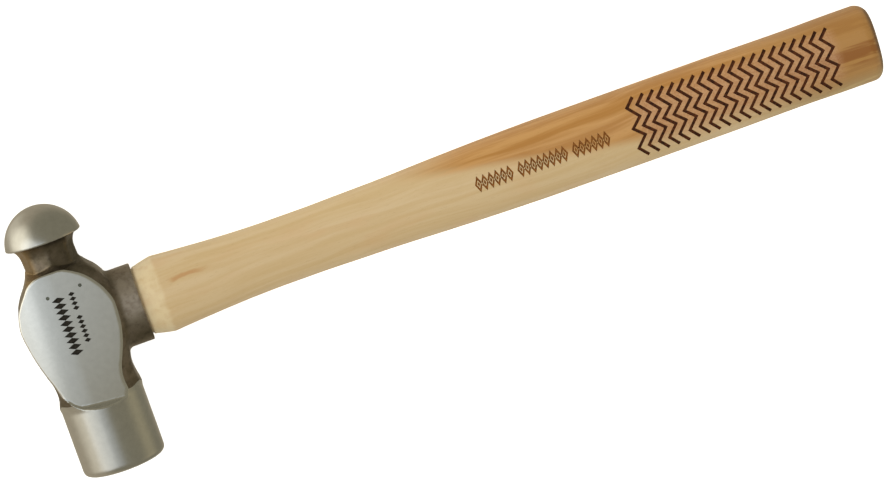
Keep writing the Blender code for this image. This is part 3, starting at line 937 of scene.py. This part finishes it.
def hickory():
    """Pale sapwood, brown heartwood from the far side of the grip on, and darker wood at the butt."""
    material, n, shader = new_material("lacquered_hickory")
    place = n.place()
    x, y, z = n.parts(place)[:3]
    across = n.calc("SUBTRACT", y, EYE_CENTRE)
    drift = n.noise(n.stretched(place, 0.012, 0.03, 0.03), 1.0, 2.0)
    wobble = n.add("ShaderNodeCombineXYZ", {1: n.calc("MULTIPLY", drift, 14.0)}).outputs[0]
    rings = grain(n, place, wobble)
    pale = n.mix(n.fade(rings, 0.32, 0.68), 0xCCB083, 0xD3BA92)
    warm_patch = n.noise(n.stretched(place, 0.05, 0.16, 0.16), 1.0, 3.0)
    pale = n.mix(n.fade(warm_patch, 0.5, 0.75, 0.0, 0.35), pale, 0xD2AC80)
    brown = n.mix(n.fade(rings, 0.35, 0.65), 0xB17D40, 0xC6965C)
    heart_edge = n.fade(x, 110.0, 225.0, 10.0, -5.0)
    inside = n.calc("ADD", n.calc("SUBTRACT", across, heart_edge), n.calc("MULTIPLY", rings, 5.0))
    heart = n.calc("MULTIPLY", n.fade(inside, 0.5, 5.0), n.fade(x, 112.0, 150.0))
    base = n.mix(heart, pale, brown)
    base = n.mix(butt_share(n, x), base, butt_wood(n, place, across))
    # Painted highlight: paler wood painted on the chamfer next to the collar.
    base = n.mix(shoulder_painted_highlight(n, place, x), base, 0xE0CEA8)
    base = n.mix(small_streak(n, place, x, across), base, 0xB98149)
    pores = n.noise(n.stretched(place, 0.35, 6.0, 6.0), 1.0, 2.0, 0.6)
    base = n.mix(n.fade(pores, 0.6, 0.8, 0.0, 0.35), base, 0x8A6234)
    # Darker end grain at both ends, and painted shade on the butt's rounded edge, painted dark from 2.4 mm
    # before the butt's end.
    end_grain_and_painted_shade = n.calc("ADD", n.fade(x, -15.2, -16.2), n.fade(x, BUTT_END - 2.4, BUTT_END - 0.8))
    base = n.mix(n.calc("MULTIPLY", end_grain_and_painted_shade, 0.7), base, 0x4E3419)
    speckle = n.fade(n.noise(place, 1.4, 3.0, 0.7), 0.35, 0.65)
    scorched = n.mix(speckle, 0xAE7C58, 0xC49A74)
    base = n.mix(scorch_share(n, x, across, z), base, scorched)
    fine = n.noise(n.stretched(place, 0.2, 3.0, 3.0), 1.0, 3.0)
    rough = n.fade(fine, 0.3, 0.7, 0.36, 0.46)
    connect(n, shader, Base_Color=base, Roughness=rough, Normal=n.bump(pores, 0.15, 0.1))
    shader.inputs["Coat Weight"].default_value = 0.25
    shader.inputs["Coat Roughness"].default_value = 0.18
    return material


def butt_share(n, x):
    return n.fade(x, 235.0, 284.0, 0.0, 0.9)


def butt_wood(n, place, across):
    """Darker wood with a few long dark streaks near the middle line."""
    streaks = n.noise(n.stretched(place, 0.03, 0.4, 0.4), 1.0, 3.0, 0.6, 0.4)
    near_middle = n.fade(n.calc("ABSOLUTE", n.calc("ADD", across, 1.5)), 7.0, 1.0)
    dark = n.calc("MULTIPLY", n.fade(streaks, 0.42, 0.6), n.fade(near_middle, 0.0, 1.0, 0.35, 1.0))
    wood = n.mix(n.fade(across, -12.0, -7.0), 0xB89B66, 0xAC7F46)
    return n.mix(dark, wood, 0x8C5826)


def shoulder_painted_highlight(n, place, x):
    """The rasped chamfer next to the collar, with an uneven edge, painted paler: a painted highlight where
    its face tilts toward the light.
    """
    uneven = n.calc("ADD", x, n.calc("MULTIPLY", n.noise(n.stretched(place, 0.1, 0.3, 0.3), 1.0, 3.0), 2.5))
    patches = n.fade(n.noise(place, 0.35, 3.0), 0.3, 0.6, 0.3, 0.75)
    return n.calc("MULTIPLY", n.fade(uneven, COLLAR_END + 8.0, COLLAR_END + 10.0, 1.0, 0.0), patches)


def small_streak(n, place, x, across):
    bend = n.calc("MULTIPLY", n.noise(n.stretched(place, 0.2, 0.4, 0.4), 1.0), 2.0)
    off = n.calc("ABSOLUTE", n.calc("SUBTRACT", n.calc("ADD", across, bend), 6.2))
    along = n.calc("MULTIPLY", n.fade(x, 35.0, 38.0), n.fade(x, 52.0, 44.0))
    return n.calc("MULTIPLY", n.fade(off, 1.1, 0.3, 0.0, 0.6), along)


def scorch_share(n, x, across, z):
    """Wood browned between the burnt chevrons, less so toward the near side."""
    along = n.calc("MULTIPLY", n.fade(x, 206.0, 213.0), n.fade(x, 287.0, 282.0))
    wide = n.calc("MULTIPLY", n.fade(across, -12.0, -4.0), n.fade(across, 11.0, 8.5))
    upper = n.fade(z, 2.0, 4.0, 0.0, 0.7)
    return n.calc("MULTIPLY", n.calc("MULTIPLY", along, wide), upper)


def scorched_wood():
    """Burnt dark in the chevrons, and only browned in the frieze."""
    material, n, shader = new_material("scorched_wood")
    place = n.place()
    tone = n.fade(n.noise(place, 0.8, 4.0), 0.3, 0.7)
    dark = n.mix(tone, 0x2E1204, 0x5A2C0E)
    light = n.mix(tone, 0x7C4A1A, 0x98632C)
    chevrons_start = COLLAR_END + CHEVRON_FIRST
    share = n.fade(n.parts(place)[0], chevrons_start - 3.8, chevrons_start - 1.8)
    connect(n, shader, Base_Color=n.mix(share, light, dark))
    shader.inputs["Roughness"].default_value = 0.75
    return material


def wedge_wood():
    material, n, shader = new_material("sawn_hardwood")
    place = n.place()
    lines = n.noise(n.stretched(place, 0.15, 1.2, 2.5), 1.0, 4.0)
    base = n.mix(n.fade(lines, 0.3, 0.7), 0x6B4423, 0x9A6C3E)
    connect(n, shader, Base_Color=base, Normal=n.bump(lines, 0.3, 0.2))
    shader.inputs["Roughness"].default_value = 0.7
    return material


def wedge_steel():
    material, n, shader = new_material("mild_steel")
    place = n.place()
    blotch = n.fade(n.noise(place, 0.9, 5.0), 0.35, 0.65)
    base = n.mix(blotch, 0x5E5852, 0x8F8A83)
    relief = n.bump(n.noise(place, 1.6, 4.0), 0.4, 0.2)
    connect(n, shader, Base_Color=base, Roughness=n.fade(blotch, 0, 1, 0.35, 0.55), Normal=relief)
    shader.inputs["Metallic"].default_value = 1.0
    return material


def floor_paint():
    material, n, shader = new_material("pale_floor")
    tone = n.fade(n.noise(n.place(), 0.01, 3.0), 0.3, 0.7)
    connect(n, shader, Base_Color=n.mix(tone, 0xF4F4F3, 0xF8F8F7))
    shader.inputs["Roughness"].default_value = 0.9
    shader.inputs["Emission Color"].default_value = (1.0, 1.0, 1.0, 1.0)
    shader.inputs["Emission Strength"].default_value = 0.75
    return material


# Studio.

# Soft panels and shades round the hammer: direction, cosines where each starts and is full, and light.
PANELS = (
    ((-0.89, 0.41, 0.19), 0.69, 1.00, (0.93, 0.89, 0.73)),
    ((-0.58, 0.54, -0.61), 0.89, 1.00, (0.30, 0.29, 0.24)),
    ((-0.22, 0.00, 0.98), 0.93, 1.00, (0.32, 0.37, 0.43)),
    ((-0.74, 0.07, -0.67), -0.16, 0.50, (0.19, 0.15, 0.11)),
    ((0.93, -0.36, 0.12), 0.89, 1.00, (0.18, 0.15, 0.08)),
    ((-0.69, 0.05, 0.72), 0.86, 0.94, (0.67, 0.70, 0.70)),
)
AMBIENT = (0.26, 0.24, 0.17)

# The lamp, in metres and watts, and the floor, in millimetres.
LAMP_PLACE = (0.14, 0.25, 1.6)
LAMP_SIZE = 1.4
LAMP_POWER = 14.0
FLOOR_HALF = 8000.0
FLOOR_HEIGHT = -15.1

# Camera: the point it is set out from, its offset from there along its own axes in metres, and its turns.
MIDDLE = (0.140, 0.050, 0.0)
CAMERA_OFFSET = (-0.00363, -0.01569, 1.252)
CAMERA_TILT, CAMERA_YAW, CAMERA_ROLL = (math.radians(angle) for angle in (9.5, 4.231, 19.014))
CAMERA_LENS = 144.1


def make_world():
    world = bpy.data.worlds.new("studio")
    world.use_nodes = True
    bpy.context.scene.world = world
    n = Nodes(world.node_tree)
    direction = n.add("ShaderNodeTexCoord").outputs["Generated"]
    light = (*AMBIENT, 1.0)
    for towards, start, full, amount in PANELS:
        unit = tuple(Vector(towards).normalized())
        facing = n.add("ShaderNodeVectorMath", {0: direction, 1: unit}, operation="DOT_PRODUCT")
        share = n.fade(facing.outputs["Value"], start, full)
        light = n.mix(share, light, (*amount, 1.0), "ADD")
    connect(n, world.node_tree.nodes["Background"], Color=light)


def make_lamp():
    """A broad soft lamp overhead, which the steel doesn't mirror."""
    lamp = bpy.data.lights.new("overhead", "AREA")
    lamp.shape = "DISK"
    lamp.size = LAMP_SIZE
    lamp.energy = LAMP_POWER
    light = bpy.data.objects.new("overhead", lamp)
    bpy.context.scene.collection.objects.link(light)
    light.location = LAMP_PLACE
    light.rotation_euler = (Vector(MIDDLE) - Vector(LAMP_PLACE)).to_track_quat("-Z", "Y").to_euler()
    light.visible_glossy = False


def make_floor():
    corners = ((-1, -1), (1, -1), (1, 1), (-1, 1))
    points = [(FLOOR_HALF * x, FLOOR_HALF * y, FLOOR_HEIGHT) for x, y in corners]
    floor = mesh_piece("floor", points, [(0, 1, 2, 3)], [floor_paint()])
    floor.visible_glossy = False


def set_camera():
    roll, tilt = Matrix.Rotation(CAMERA_ROLL, 3, "Z"), Matrix.Rotation(CAMERA_TILT, 3, "X")
    turn = roll @ tilt @ Matrix.Rotation(CAMERA_YAW, 3, "Y")
    back = turn.transposed()
    camera = bpy.data.objects.new("camera", bpy.data.cameras.new("camera"))
    bpy.context.scene.collection.objects.link(camera)
    place = Vector(MIDDLE) + back @ Vector(CAMERA_OFFSET)
    camera.matrix_world = Matrix.Translation(place) @ back.to_4x4()
    camera.data.sensor_width = 36.0
    camera.data.lens = CAMERA_LENS
    camera.data.clip_end = 50.0
    bpy.context.scene.camera = camera


def dress(piece, node):
    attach(piece, "root")
    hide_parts(node)


def main():
    set_camera()
    make_world()
    make_floor()
    make_lamp()
    dress(make_head(), "head")
    dress(make_handle(), "handle")
    dress(make_wooden_wedge(), "wooden_wedge")
    names = ("steel_wedge_face_side", "steel_wedge_ball_side")
    for name, middle_y in zip(names, STEEL_WEDGE_PLACES):
        dress(make_steel_wedge(name + "_struck", middle_y), name)
    bpy.context.scene.view_settings.view_transform = "Standard"


main()
